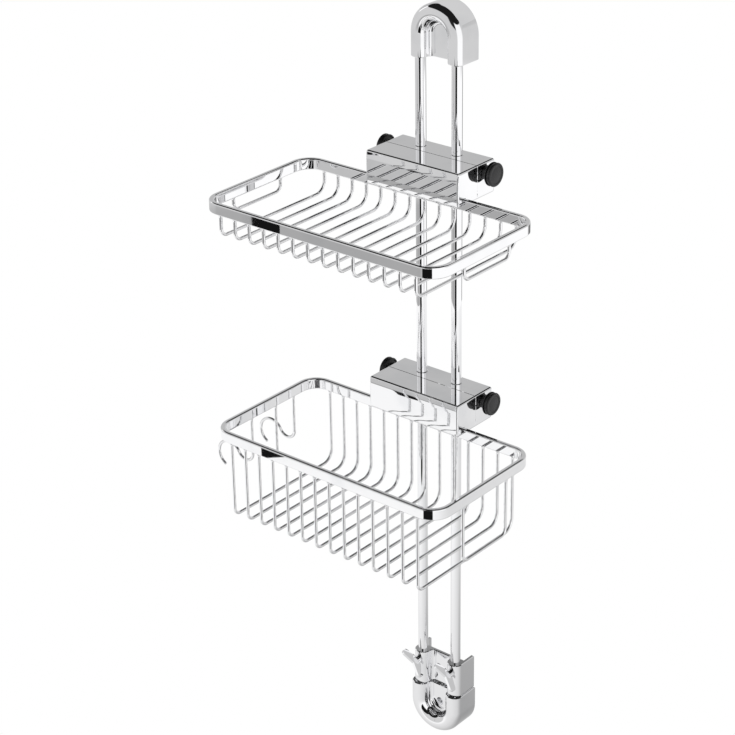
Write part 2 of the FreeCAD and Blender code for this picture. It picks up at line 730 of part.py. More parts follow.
def make_hook(name, along, top):
    """A wire that drops from the rim, turns outwards and up, and crooks over."""
    body = new_body(name)
    path = new_sketch(body, "XZ")
    reach = "(turn_radius + crook_radius)"
    turn_centre = ("-" + RIM_SIDE + " - turn_radius", "-hook_drop")
    crook_centre = (turn_centre[0] + " - %s * cos(crook_slope)" % reach,
                    turn_centre[1] + " - %s * sin(crook_slope)" % reach)
    tip = crook_centre[0] + " + crook_radius * cos(crook_end)"
    stem_x, low = value("-" + RIM_SIDE), value("-hook_drop")
    drop = Part.LineSegment(Vector(stem_x, value("-rim_height"), 0), Vector(stem_x, low, 0))
    stem = path.addGeometry(drop)
    slope = value("crook_slope")
    turn_point, crook_point = [Vector(*[value(text) for text in pair], 0) for pair in (turn_centre, crook_centre)]
    turn = arc(path, turn_point, value("turn_radius"), 180 + slope, 360)
    crook = arc(path, crook_point, value("crook_radius"), slope, value("crook_end"))
    pin(path, stem, 1, "-" + RIM_SIDE, "-rim_height")
    path.addConstraint(Sketcher.Constraint("Vertical", stem))
    dimension(path, "DistanceY", (-1, 1, stem, 2), "-hook_drop")
    path.addConstraint(Sketcher.Constraint("Tangent", stem, 2, turn, 2))
    dimension(path, "Radius", (turn,), "turn_radius")
    path.addConstraint(Sketcher.Constraint("Tangent", turn, 1, crook, 1))
    dimension(path, "Radius", (crook,), "crook_radius")
    dimension(path, "DistanceX", (-1, 1, crook, 3), crook_centre[0])
    dimension(path, "DistanceX", (-1, 1, crook, 2), tip)
    sweep(body, path, "-" + RIM_SIDE, "0", "-rim_height")
    names = ["Edge%d" % number for number, edge in enumerate(body.Tip.Shape.Edges, start=1)
             if edge.isClosed() and edge.BoundBox.ZMax < low and edge.BoundBox.XMax < value(turn_centre[0])]
    dress(body, "Fillet", "tip_round", names)
    place(body, "0", "-rod_standoff + %s + %s" % (RIM_MIDDLE, along), top + " - rim_drop")


def make_dropper(name, top):
    """A straight wire that drops from the rim's left side."""
    body = new_body(name)
    sketch = new_sketch(body, "XY", "-dropper_depth")
    circle(sketch, "0", "0", "wire_diameter")
    extrude(body, "Pad", sketch, "dropper_depth - rim_height")
    dress(body, "Fillet", "tip_round", edges_on(body, "Z", "-dropper_depth"))
    place(body, "-" + RIM_SIDE, "-rod_standoff + %s + dropper_shift" % RIM_MIDDLE, top + " - rim_drop")


# ---------------------------------------------------------------- assembly

make_top_cover()
make_wall_plate()
make_lower_body()
make_clamp()
for side, sign, _ in SIDES:
    make_rod("rod_" + side, sign)
    make_wing_screw("wing_screw_" + side, sign)
for level in ("upper", "lower"):
    top = "(-%s_slider_drop)" % level
    make_block(level + "_slider_block", top)
    make_cover(level + "_front_cover", top)
    for side, sign, angle in SIDES:
        make_knob("%s_knob_%s" % (level, side), angle, top)
        make_spindle("%s_spindle_%s" % (level, side), angle, top)
    make_pads(level + "_pressure_pads", top)
    make_screws(level + "_basket_screws", top)
    make_rim(level + "_basket_rim", top)
    make_wires(level + "_basket_wire", level + "_bowl_depth", top)
    make_loop(level + "_side_loop_right", "", level + "_loop_depth", top)
    if level == "upper":
        make_loop("upper_side_loop_left", "-", "upper_loop_depth", top)
make_hook("lower_hook_front", "hook_shift - hook_spacing / 2", top)
make_hook("lower_hook_back", "hook_shift + hook_spacing / 2", top)
make_dropper("lower_dropper_wire", top)

doc.recompute()
os.makedirs("parts", exist_ok=True)
for item in doc.Objects:
    if "Invalid" in item.State or "Error" in item.State:
        raise RuntimeError("%s did not recompute: %s" % (item.Label, item.State))
for piece in pieces:
    if piece.Shape.isNull() or not piece.Shape.isValid():
        raise RuntimeError("%s has no valid shape" % piece.Label)
    piece.Shape.exportStep("parts/%s.step" % piece.Label)
print("%d pieces" % len(pieces))
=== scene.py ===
import math

import bpy
import numpy as np
from bpy.props import FloatProperty, FloatVectorProperty, PointerProperty
from mathutils import Matrix, Vector


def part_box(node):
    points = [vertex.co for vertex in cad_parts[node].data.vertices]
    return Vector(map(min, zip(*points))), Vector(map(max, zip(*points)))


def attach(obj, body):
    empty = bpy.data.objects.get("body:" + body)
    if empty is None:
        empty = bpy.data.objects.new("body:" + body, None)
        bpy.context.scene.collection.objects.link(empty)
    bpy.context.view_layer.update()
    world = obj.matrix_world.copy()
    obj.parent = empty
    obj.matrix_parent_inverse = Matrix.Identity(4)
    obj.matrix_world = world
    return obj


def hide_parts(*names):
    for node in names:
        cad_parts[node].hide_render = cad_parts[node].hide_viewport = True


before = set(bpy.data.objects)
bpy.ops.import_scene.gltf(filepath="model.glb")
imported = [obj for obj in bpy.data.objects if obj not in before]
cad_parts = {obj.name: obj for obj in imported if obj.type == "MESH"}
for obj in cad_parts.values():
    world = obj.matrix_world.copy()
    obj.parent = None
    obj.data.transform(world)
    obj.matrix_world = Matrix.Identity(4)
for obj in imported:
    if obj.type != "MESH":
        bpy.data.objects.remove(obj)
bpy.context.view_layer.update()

bl_info = {
    "name": "Shower caddy looks",
    "version": (1, 0, 0),
    "blender": (4, 5, 0),
    "location": "3D View > Sidebar > Caddy",
    "description": "Wires, knobs, finishes and studio for a sliding shower caddy",
    "category": "Object",
}

LEVELS = ("upper", "lower")
WIRES_PER_BASKET = 14
DOWN = -math.pi / 2
QUARTER = math.pi / 2

# How finely the surfaces are sampled.
RUN_STEPS = 14
ARC_STEP = math.radians(6.0)
FEWEST_ARC_STEPS = 8
WIRE_SIDES = 20
KNOB_SIDES = 96
KNOB_ARC_POINTS = 9
SHARP_EDGE = math.radians(40.0)


# ---------------------------------------------------------------- sizes and colours

def length(name, description, default):
    """A size in metres that the user can change."""
    return FloatProperty(name=name, description=description, default=default, unit="LENGTH", min=0.0)


def angle(name, description, degrees):
    """An angle, given here in degrees."""
    return FloatProperty(name=name, description=description, default=math.radians(degrees), subtype="ANGLE")


def colour(name, description, default):
    """A colour as linear red, green and blue."""
    return FloatVectorProperty(name=name, description=description, default=default, subtype="COLOR",
                               size=3, min=0.0, max=1.0)


def share(name, description, default, top=1.0):
    """A plain number from nothing to the top."""
    return FloatProperty(name=name, description=description, default=default, subtype="FACTOR",
                         min=0.0, max=top)


class CaddyWireSizes(bpy.types.PropertyGroup):
    """Sizes of the bent wires that the CAD boxes do not give."""
    front_bend: length("Front bend", "Bend of a bowl wire below the front of the rim", 0.007)
    back_bend: length("Back bend", "Bend of a bowl wire below the back of the rim", 0.012)
    loop_bend: length("Loop bend", "Bends of the side loops", 0.0065)
    turn_radius: length("Turn radius", "Turn at the foot of a hook's drop", 0.0095)
    crook_radius: length("Crook radius", "Crook at the outer end of a hook", 0.014)
    crook_slope: angle("Crook slope", "Fall of the line from the turn's centre to the crook's centre", 27.0)
    crook_end: angle("Crook end", "How far round the crook its tip is", 245.0)
    weld_bead: length("Weld bead", "How far a weld stands out from a wire at the rim", 0.00035)
    weld_reach: length("Weld reach", "How far a weld runs down a wire", 0.0011)
    tip_round: length("Tip round", "Round of a cut wire end", 0.001)


class CaddyKnobSizes(bpy.types.PropertyGroup):
    """Sizes of the turned knobs."""
    edge_round: length("Edge round", "Round of the knob's outer edges", 0.0015)
    dish_depth: length("Dish depth", "How deep the cap's face is dished", 0.0005)
    dish_radius: length("Dish radius", "Edge of the dish in the cap's face", 0.0086)
    dish_slope: length("Dish slope", "Width of the slope round the dish", 0.0011)
    stem_radius: length("Stem radius", "Stem between the knob and the slider", 0.0065)
    stem_length: length("Stem length", "Length of the stem", 0.0054)


class CaddyFinishes(bpy.types.PropertyGroup):
    """Colours and gloss of the finishes."""
    chrome: colour("Chrome", "Bright plating on castings, rods and wires", (0.93, 0.93, 0.94))
    chrome_worn: colour("Chrome film", "Plating under a faint water film", (0.86, 0.865, 0.88))
    chrome_roughness: share("Chrome roughness", "Roughness of clean plating", 0.012)
    plastic: colour("Knob plastic", "Black moulded plastic", (0.012, 0.012, 0.013))
    plastic_roughness: share("Plastic roughness", "Roughness of the knobs", 0.34)
    steel: colour("Steel", "Bare steel of spindles and screws", (0.56, 0.56, 0.58))
    nylon: colour("Nylon", "Pads inside the sliders", (0.82, 0.82, 0.78))


class CaddyStudio(bpy.types.PropertyGroup):
    """Where the camera stands and how the studio is lit."""
    turn: angle("Camera turn", "Camera's bearing from straight in front, to the right", 40.12)
    roll: angle("Camera roll", "Camera's roll", -0.99)
    lens: FloatProperty(name="Lens", description="Focal length in millimetres", default=104.26)
    floor_drop: length("Floor drop", "Floor below the wall hole", 1.25)
    floor_radius: length("Floor radius", "Radius of the pale floor", 2.2)
    left_wall: share("Left wall", "Brightness of the grey wall on the left", 0.66)
    right_wall: share("Right wall", "Brightness of the white wall on the right", 1.06, 2.0)
    upper_wall: share("Upper wall", "Brightness of the walls higher up", 0.66)
    rear: share("Rear", "Brightness of what stands behind and above the caddy", 0.52)
    softbox: share("Softbox", "Brightness of the softbox behind the caddy on the left", 1.3, 2.0)


# ---------------------------------------------------------------- shader maths

class Signal:
    """A socket that Python arithmetic can be done on: each operation adds its Math node."""

    def __init__(self, graph, socket):
        self.graph = graph
        self.socket = socket

    def combine(self, operation, first, second):
        return self.graph.node("ShaderNodeMath", {"operation": operation}, {0: first, 1: second})

    def __add__(self, other):
        return self.combine("ADD", self, other)

    def __radd__(self, other):
        return self.combine("ADD", other, self)

    def __sub__(self, other):
        return self.combine("SUBTRACT", self, other)

    def __rsub__(self, other):
        return self.combine("SUBTRACT", other, self)

    def __mul__(self, other):
        return self.combine("MULTIPLY", self, other)

    def __rmul__(self, other):
        return self.combine("MULTIPLY", other, self)


class Graph:
    """A node tree that is built one node at a time."""

    def __init__(self, tree):
        self.tree = tree
        tree.nodes.clear()

    def node(self, kind, choices=None, sockets=None, output=0):
        """Add a node: its settings first, then the values or links of its sockets."""
        made = self.tree.nodes.new(kind)
        for name, choice in (choices or {}).items():
            if name == "stops":
                self.set_stops(made.color_ramp, choice)
            else:
                setattr(made, name, choice)
        for name, given in (sockets or {}).items():
            socket = made.inputs[name]
            if isinstance(given, Signal):
                self.tree.links.new(given.socket, socket)
            else:
                socket.default_value = given
        return Signal(self, made.outputs[output]) if len(made.outputs) else made

    @staticmethod
    def set_stops(ramp, stops):
        """Grey stops given as (position, brightness), lowest first."""
        while len(ramp.elements) > 1:
            ramp.elements.remove(ramp.elements[-1])
        for number, (position, grey) in enumerate(stops):
            stop = ramp.elements[0] if number == 0 else ramp.elements.new(position)
            stop.position = position
            stop.color = (grey, grey, grey, 1.0)

    def parts(self, vector):
        """The three parts of a vector."""
        first = self.node("ShaderNodeSeparateXYZ", {}, {0: vector})
        return [Signal(self, socket) for socket in first.socket.node.outputs]

    def noise(self, place, scale, detail):
        """Cloudy noise from 0 to 1 in space."""
        return self.node("ShaderNodeTexNoise", {"noise_dimensions": "3D"},
                         {"Vector": place, "Scale": scale, "Detail": detail, "Roughness": 0.5})

    def bump(self, height, depth):
        """A normal that is tilted by a height that spans a depth in metres."""
        return self.node("ShaderNodeBump", {}, {"Height": height, "Distance": depth, "Strength": 1.0})

    def between(self, factor, first, second):
        """A colour between two colours."""
        return self.node("ShaderNodeMix", {"data_type": "RGBA"},
                         {"Factor": factor, 6: (*first, 1.0), 7: (*second, 1.0)}, 2)

    def step(self, signal, low, high):
        """0 below low, 1 above high, smooth in between."""
        return self.node("ShaderNodeMapRange", {"interpolation_type": "SMOOTHSTEP", "clamp": True},
                         {"Value": signal, "From Min": low, "From Max": high})


METAL = 1.0
NOT_METAL = 0.0
SPECKS_PER_PATCH = 22.0
FILM_DULLNESS = 0.02
SPECK_DULLNESS = 0.05
PLASTIC_GRAIN_DEPTH = 0.00003
STEEL_RING_SCALE = (6000.0, 300.0, 300.0)
STEEL_RING_DEPTH = 0.00001
NYLON_FLOW_DEPTH = 0.00002


def new_finish(name):
    """An empty material, its graph and the object's own coordinates."""
    material = bpy.data.materials.new(name)
    material.use_nodes = True
    graph = Graph(material.node_tree)
    place = graph.node("ShaderNodeTexCoord", output=3)
    return material, graph, place


def close_finish(graph, tint, metallic, roughness, normal=None):
    """The shader and the output."""
    sockets = {"Base Color": tint, "Metallic": metallic, "Roughness": roughness}
    if normal is not None:
        sockets["Normal"] = normal
    shader = graph.node("ShaderNodeBsdfPrincipled", {}, sockets)
    graph.node("ShaderNodeOutputMaterial", {}, {"Surface": shader})


def chrome_finish(name, film_scale):
    """Bright plating with a faint film that tints and dulls it in patches, and specks in the film."""
    finishes = bpy.context.scene.caddy_finishes
    material, graph, place = new_finish(name)
    film = graph.step(graph.noise(place, film_scale, 4.0), 0.46, 0.74)
    specks = graph.step(graph.noise(place, film_scale * SPECKS_PER_PATCH, 2.0), 0.66, 0.72)
    tint = graph.between(film, tuple(finishes.chrome), tuple(finishes.chrome_worn))
    roughness = finishes.chrome_roughness + film * FILM_DULLNESS + specks * film * SPECK_DULLNESS
    close_finish(graph, tint, METAL, roughness)
    return material


def plastic_finish(name):
    """Black moulded plastic with a fine spark-eroded grain, paler and duller where fingers rub it."""
    finishes = bpy.context.scene.caddy_finishes
    material, graph, place = new_finish(name)
    grain = graph.noise(place, 2600.0, 3.0)
    rubbed = graph.step(graph.noise(place, 130.0, 3.0), 0.45, 0.75)
    black = tuple(finishes.plastic)
    tint = graph.between(rubbed, black, tuple(part * 1.9 for part in black))
    roughness = finishes.plastic_roughness + grain * 0.1 + rubbed * 0.08
    close_finish(graph, tint, NOT_METAL, roughness, graph.bump(grain, PLASTIC_GRAIN_DEPTH))
    return material


def steel_finish(name):
    """Turned steel: fine rings across the shaft and a little dullness."""
    finishes = bpy.context.scene.caddy_finishes
    material, graph, place = new_finish(name)
    squeezed = graph.node("ShaderNodeVectorMath", {"operation": "MULTIPLY"}, {0: place, 1: STEEL_RING_SCALE})
    rings = graph.noise(squeezed, 1.0, 2.0)
    tone = tuple(finishes.steel)
    tint = graph.between(rings, tuple(part * 0.82 for part in tone), tone)
    close_finish(graph, tint, METAL, 0.24 + rings * 0.16, graph.bump(rings, STEEL_RING_DEPTH))
    return material


def nylon_finish(name):
    """Milky nylon with faint flow marks."""
    finishes = bpy.context.scene.caddy_finishes
    material, graph, place = new_finish(name)
    flow = graph.noise(place, 700.0, 3.0)
    tone = tuple(finishes.nylon)
    tint = graph.between(flow, tuple(part * 0.9 for part in tone), tone)
    close_finish(graph, tint, NOT_METAL, 0.42 + flow * 0.12, graph.bump(flow, NYLON_FLOW_DEPTH))
    return material


# ---------------------------------------------------------------- surfaces

def bent_line(start, heading, pieces):
    """A line in a plane that is made of straight runs and arcs.

    Each piece is (length, turn). Each step along a piece is the chord of its arc: the step's
    length times the sinc of half the step's turn, along the heading half way through the step.
    Samples crowd towards both ends of a straight run. Returns the points and the headings there.
    """
    steps, turns = [], []
    for run, turn in pieces:
        if turn == 0.0:
            marks = 0.5 - 0.5 * np.cos(np.pi * np.linspace(0.0, 1.0, RUN_STEPS + 1))
        else:
            marks = np.linspace(0.0, 1.0, max(FEWEST_ARC_STEPS, int(abs(turn) / ARC_STEP)) + 1)
        steps.append(np.diff(marks) * run)
        turns.append(np.diff(marks) * turn)
    steps, turns = np.concatenate(steps), np.concatenate(turns)
    ends = heading + np.concatenate([[0.0], np.cumsum(turns)])
    middle = ends[:-1] + turns / 2.0
    chords = steps * np.sinc(turns / (2.0 * np.pi))
    moves = np.stack([chords * np.cos(middle), chords * np.sin(middle)], axis=1)
    points = np.concatenate([[start], np.asarray(start) + np.cumsum(moves, axis=0)])
    return points, ends


def ring_mesh(name, centres, across, inward, radii, sides):
    """A closed skin over rings of points.

    The point at angle t of a ring is its centre plus its radius times (cos t of the across
    direction plus sin t of the inward direction). Fans close both ends.
    """
    spin = np.arange(sides) * (2.0 * np.pi / sides)
    level = across[:, None, :] * np.cos(spin)[None, :, None]
    upright = inward[:, None, :] * np.sin(spin)[None, :, None]
    around = level + upright
    rings = centres[:, None, :] + around * radii[:, None, None]
    points = np.concatenate([rings.reshape(-1, 3), centres[:1], centres[-1:]])
    count = len(centres)
    row = np.arange(sides)
    after = (row + 1) % sides
    base = np.arange(count - 1)[:, None] * sides
    quads = np.stack([base + row, base + after, base + sides + after, base + sides + row], axis=-1)
    first, last = count * sides, count * sides + 1
    top = (count - 1) * sides
    start_fan = np.stack([np.full(sides, first), after, row], axis=-1)
    end_fan = np.stack([np.full(sides, last), top + row, top + after], axis=-1)
    faces = quads.reshape(-1, 4).tolist() + start_fan.tolist() + end_fan.tolist()
    mesh = bpy.data.meshes.new(name)
    mesh.from_pydata(points.tolist(), [], faces)
    mesh.shade_smooth()
    mesh.update()
    return mesh


def add_piece(mesh, body, node, material):
    """A finished mesh that rides on a body and stands for a CAD node."""
    piece = bpy.data.objects.new(mesh.name, mesh)
    bpy.context.scene.collection.objects.link(piece)
    mesh.materials.append(material)
    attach(piece, body)
    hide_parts(node)


def wire_mesh(name, points, headings, plane, offset, radius, welds):
    """A round wire along a line in an upright plane.

    The plane is "YZ" or "XZ" and stands at the offset along the third axis. The radius grows
    by the weld's bead times exp(-(distance / reach) squared) towards each welded end, and
    closes like a quarter circle at a free end.
    """
    sizes = bpy.context.scene.caddy_wire_sizes
    level = 1 if plane == "YZ" else 0
    side = 1 - level
    centres = np.zeros((len(points), 3))
    centres[:, level] = points[:, 0]
    centres[:, 2] = points[:, 1]
    centres[:, side] = offset
    ahead = np.zeros_like(centres)
    ahead[:, level] = np.cos(headings)
    ahead[:, 2] = np.sin(headings)
    across = np.zeros_like(centres)
    across[:, side] = 1.0
    inward = np.cross(ahead, across)
    walked = np.concatenate([[0.0], np.cumsum(np.linalg.norm(np.diff(points, axis=0), axis=1))])
    radii = np.full(len(points), radius)
    for welded, away in zip(welds, (walked, walked[-1] - walked)):
        if welded:
            radii += sizes.weld_bead * np.exp(-(away / sizes.weld_reach) ** 2)
        else:
            short = np.clip(sizes.tip_round - away, 0.0, None)
            radii -= sizes.tip_round - np.sqrt(np.clip(sizes.tip_round ** 2 - short ** 2, 0.0, None))
    return ring_mesh(name, centres, across, inward, radii, WIRE_SIDES)


def wire_radius():
    """Half the width of a bowl wire's CAD box, which is level across the wire."""
    low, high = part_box("upper_basket_wire_01")
    return (high.x - low.x) / 2.0


def basket_body(level):
    """The body that a basket's pieces ride on."""
    return level + "_basket"


def u_wire(node, level, bends, material):
    """A wire that drops from the rim's back run, goes forwards and comes up to the front run."""
    radius = wire_radius()
    low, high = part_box(node)
    back, front = high.y - radius, low.y + radius
    drop = high.z - (low.z + radius)
    pieces = [(drop - bends[0], 0.0), (bends[0] * QUARTER, -QUARTER),
              (back - front - sum(bends), 0.0), (bends[1] * QUARTER, -QUARTER), (drop - bends[1], 0.0)]
    points, headings = bent_line((back, high.z), DOWN, pieces)
    mesh = wire_mesh(node + "_wire", points, headings, "YZ", (low.x + high.x) / 2.0, radius, (True, True))
    add_piece(mesh, basket_body(level), node, material)


def hook_wire(node, material):
    """A wire that drops from the rim's left run, turns outwards and up and crooks over."""
    sizes = bpy.context.scene.caddy_wire_sizes
    radius = wire_radius()
    low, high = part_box(node)
    stem = high.x - radius
    drop = high.z - low.z - radius - turn_fall(sizes)
    turn = -(math.pi - sizes.crook_slope)
    crook = sizes.crook_end - sizes.crook_slope
    pieces = [(drop, 0.0), (sizes.turn_radius * -turn, turn), (sizes.crook_radius * crook, crook)]
    points, headings = bent_line((stem, high.z), DOWN, pieces)
    points, headings = shorten_end(points, headings, sizes.tip_round)
    mesh = wire_mesh(node + "_wire", points, headings, "XZ", (low.y + high.y) / 2.0, radius, (True, False))
    add_piece(mesh, basket_body("lower"), node, material)


def turn_fall(sizes):
    """How far the lowest point of a hook's line is below the start of its turn."""
    reach = sizes.turn_radius + sizes.crook_radius
    tip = reach * math.sin(sizes.crook_slope) - sizes.crook_radius * math.sin(sizes.crook_end)
    return max(sizes.turn_radius, tip)


def shorten_end(points, headings, reach):
    """Add samples close to the last point, where a cut end is rounded."""
    marks = np.array([1.0, 0.8, 0.6, 0.4, 0.25, 0.12, 0.04]) * reach
    last, way = points[-1], np.array([math.cos(headings[-1]), math.sin(headings[-1])])
    keep = np.linalg.norm(points - last, axis=1) > reach * 1.2
    added = last - marks[:, None] * way
    points = np.concatenate([points[keep], added, [last]])
    headings = np.concatenate([headings[keep], np.full(len(marks) + 1, headings[-1])])
    return points, headings


def dropper_wire(node, material):
    """A straight wire that drops from the rim's left run to a cut end."""
    radius = wire_radius()
    low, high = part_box(node)
    points, headings = bent_line(((low.x + high.x) / 2.0, high.z), DOWN, [(high.z - low.z, 0.0)])
    points, headings = shorten_end(points, headings, bpy.context.scene.caddy_wire_sizes.tip_round)
    mesh = wire_mesh(node + "_wire", points, headings, "XZ", (low.y + high.y) / 2.0, radius, (True, False))
    add_piece(mesh, basket_body("lower"), node, material)


STEM_EASE = 0.0002
STEM_FLARE = 0.0006
STEM_BEVEL = 0.0008
CAP_MIDDLE = 0.02


def knob_profile(sizes, radius, long):
    """Distances from the slider and radii along a knob, from its stem's end to its cap's middle.

    Straight lines join a stem with eased ends, two quarter circles, a dish whose slope is a
    cosine and a floor that is a parabola. The back quarter circle is walked from the barrel
    to the slider, so the skin folds over itself there.
    """
    bend, stem, thick = sizes.edge_round, sizes.stem_length, sizes.stem_radius
    eased = [(0.0, thick - STEM_BEVEL), (0.0, thick - STEM_EASE), (STEM_EASE, thick),
             (stem - STEM_FLARE, thick), (stem - STEM_EASE, thick + STEM_EASE), (stem, thick + STEM_FLARE)]
    sweep = np.linspace(0.0, QUARTER, KNOB_ARC_POINTS)
    inset = radius - bend * (1.0 - np.cos(sweep))
    back = [stem + bend * (1.0 - np.sin(sweep)), inset]
    front = [long - bend * (1.0 - np.sin(sweep)), inset]
    slope = np.linspace(0.0, 1.0, KNOB_ARC_POINTS)
    dish = [long - sizes.dish_depth * (0.5 - 0.5 * np.cos(np.pi * slope)),
            sizes.dish_radius - sizes.dish_slope * slope]
    floor = np.linspace(1.0, CAP_MIDDLE, KNOB_ARC_POINTS + 1)[1:]
    crown = [long - sizes.dish_depth * floor ** 2, (sizes.dish_radius - sizes.dish_slope) * floor]
    return np.concatenate([np.transpose(eased), back, front, dish, crown], axis=1)


def knob(node, level, side, material):
    """A turned knob: its profile spun about the spindle's axis."""
    sizes = bpy.context.scene.caddy_knob_sizes
    low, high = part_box(node)
    way = 1.0 if side == "right" else -1.0
    start = low.x if side == "right" else high.x
    middle = (low + high) / 2.0
    along, radii = knob_profile(sizes, (high.z - low.z) / 2.0, high.x - low.x)
    centres = np.zeros((len(along), 3))
    centres[:, 0] = start + way * along
    centres[:, 1] = middle.y
    centres[:, 2] = middle.z
    across = np.zeros_like(centres)
    across[:, 1] = way
    inward = np.zeros_like(centres)
    inward[:, 2] = 1.0
    mesh = ring_mesh(node + "_moulding", centres, across, inward, radii, KNOB_SIDES)
    mesh.set_sharp_from_angle(angle=SHARP_EDGE)
    add_piece(mesh, "%s_knob_%s_turning" % (level, side), node, material)


# ---------------------------------------------------------------- operators

class CADDY_OT_bowl_wires(bpy.types.Operator):
    """Make the wires of both bowls"""
    bl_idname = "caddy.bowl_wires"
    bl_label = "Bowl wires"

    def execute(self, context):
        sizes = context.scene.caddy_wire_sizes
        material = chrome_finish("bowl_wire_chrome", 24.0)
        for level in LEVELS:
            for number in range(1, WIRES_PER_BASKET + 1):
                node = "%s_basket_wire_%02d" % (level, number)
                u_wire(node, level, (sizes.back_bend, sizes.front_bend), material)
        return {"FINISHED"}


class CADDY_OT_side_loops(bpy.types.Operator):
    """Make the loops at the baskets' sides"""
    bl_idname = "caddy.side_loops"
    bl_label = "Side loops"

    def execute(self, context):
        bend = context.scene.caddy_wire_sizes.loop_bend
        material = chrome_finish("loop_wire_chrome", 28.0)
        for node in ("upper_side_loop_left", "upper_side_loop_right", "lower_side_loop_right"):
            u_wire(node, node.split("_")[0], (bend, bend), material)
        return {"FINISHED"}


class CADDY_OT_hooks(bpy.types.Operator):
    """Make the two hooks and the straight wire at the lower basket's left side"""
    bl_idname = "caddy.hooks"
    bl_label = "Hooks"

    def execute(self, context):
        material = chrome_finish("hook_wire_chrome", 28.0)
        for node in ("lower_hook_front", "lower_hook_back"):
            hook_wire(node, material)
        dropper_wire("lower_dropper_wire", material)
        return {"FINISHED"}


class CADDY_OT_knobs(bpy.types.Operator):
    """Make the four knobs"""
    bl_idname = "caddy.knobs"
    bl_label = "Knobs"

    def execute(self, context):
        material = plastic_finish("knob_plastic")
        for level in LEVELS:
            for side in ("left", "right"):
                knob("%s_knob_%s" % (level, side), level, side, material)
        return {"FINISHED"}


# The CAD nodes that keep their shape, by finish.
FINISHED_NODES = {
    "rod_chrome": ("rod_left", "rod_right"),
    "bracket_chrome": ("top_bracket_cover", "top_wall_plate", "lower_bracket_body", "lower_bracket_clamp"),
    "wing_chrome": ("wing_screw_left", "wing_screw_right"),
    "slider_chrome": ("upper_slider_block", "upper_front_cover", "lower_slider_block", "lower_front_cover"),
    "rim_chrome": ("upper_basket_rim", "lower_basket_rim"),
    "screw_steel": ("upper_spindle_left", "upper_spindle_right", "lower_spindle_left", "lower_spindle_right",
                    "upper_basket_screws", "lower_basket_screws"),
    "pad_nylon": ("upper_pressure_pads", "lower_pressure_pads"),
}
# Patches of water film along a metre of each kind of chrome.
CHROME_FILMS = {"rod_chrome": 18.0, "bracket_chrome": 30.0, "wing_chrome": 60.0, "slider_chrome": 26.0,
                "rim_chrome": 22.0}


class CADDY_OT_castings(bpy.types.Operator):
    """Finish the rods, brackets, wing screws, sliders, rims, screws and pads"""
    bl_idname = "caddy.castings"
    bl_label = "Rods, brackets and sliders"

    def execute(self, context):
        for finish, nodes in FINISHED_NODES.items():
            if finish in CHROME_FILMS:
                material = chrome_finish(finish, CHROME_FILMS[finish])
            elif finish == "screw_steel":
                material = steel_finish(finish)
            else:
                material = nylon_finish(finish)
            for node in nodes:
                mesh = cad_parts[node].data
                mesh.materials.clear()
                mesh.materials.append(material)
        return {"FINISHED"}


def flat_piece(name, corners, material):
    """A flat face through its corners."""
    mesh = bpy.data.meshes.new(name)
    mesh.from_pydata([tuple(corner) for corner in corners], [], [tuple(range(len(corners)))])
    card = bpy.data.objects.new(name, mesh)
    bpy.context.scene.collection.objects.link(card)
    mesh.materials.append(material)
    return card


def glow(name, grey):
    """A surface that shines evenly."""
    material = bpy.data.materials.new(name)
    material.use_nodes = True
    graph = Graph(material.node_tree)
    shine = graph.node("ShaderNodeEmission", {}, {"Color": (grey, grey, grey, 1.0), "Strength": 1.0})
    graph.node("ShaderNodeOutputMaterial", {}, {"Surface": shine})
    return material


# Places are in metres, heights are (low, high), and bearings are degrees from the camera's own.
CAMERA_STAND = Vector((1.11056, -1.44239, 0.55214))
CAMERA_TARGET = Vector((-0.08823, -0.02, -0.35005))
SENSOR_WIDTH = 36.0
FAR_LIMIT = 100.0
SHADE_LIFT = 0.01
SHADE_CENTRE = (0.35, 0.4, -1.24)
SHADE_PER_METRE = 0.33
SHADE_STOPS = [(0.0, 0.34), (0.12, 0.42), (0.26, 0.7), (0.45, 0.84), (0.62, 1.0)]
BLACK_CARD = 0.008
GREY_CARD = 0.66
STRIPE_BEARING = -20.5
STRIPE_AWAY = 0.8
STRIPE_WIDTH = 0.53
STRIPE_HEIGHTS = (-0.89, -0.272)
NARROW_PLACE = (-0.394, -0.5585)
NARROW_AIM = (0.0, -0.15)
NARROW_WIDTH = 0.031
NARROW_CARDS = {"upper_narrow_card": (-0.349, -0.322), "lower_narrow_card": (-0.632, -0.595)}
CROWN_SIDES = (-0.1, 0.16)
CROWN_BEHIND = 0.1
CROWN_HEIGHTS = (0.06, 0.24)

# Elevations in degrees between which one ring of walls gives way to the next.
LOWEST_TO_LOW = (-21.6, -21.2)
LOW_TO_HIGH = (-18.3, -17.6)
HIGH_TO_REAR = (8.0, 14.0)
REAR_TO_CEILING = (32.0, 35.0)
CEILING_GREY = 0.012
LOWEST_LEFT_DIM = 0.76


def floor_shade():
    """The floor as it mirrors in the chrome: shaded near the wall below the caddy, white further out."""
    material = bpy.data.materials.new("floor_shade")
    material.use_nodes = True
    graph = Graph(material.node_tree)
    place = graph.node("ShaderNodeTexCoord", output=3)
    away = graph.node("ShaderNodeVectorMath", {"operation": "DISTANCE"},
                      {0: place, 1: SHADE_CENTRE}, 1)
    fade = graph.node("ShaderNodeValToRGB", {"stops": SHADE_STOPS}, {0: away * SHADE_PER_METRE})
    shine = graph.node("ShaderNodeEmission", {}, {"Color": (1.0, 1.0, 1.0, 1.0), "Strength": fade})
    graph.node("ShaderNodeOutputMaterial", {}, {"Surface": shine})
    return material


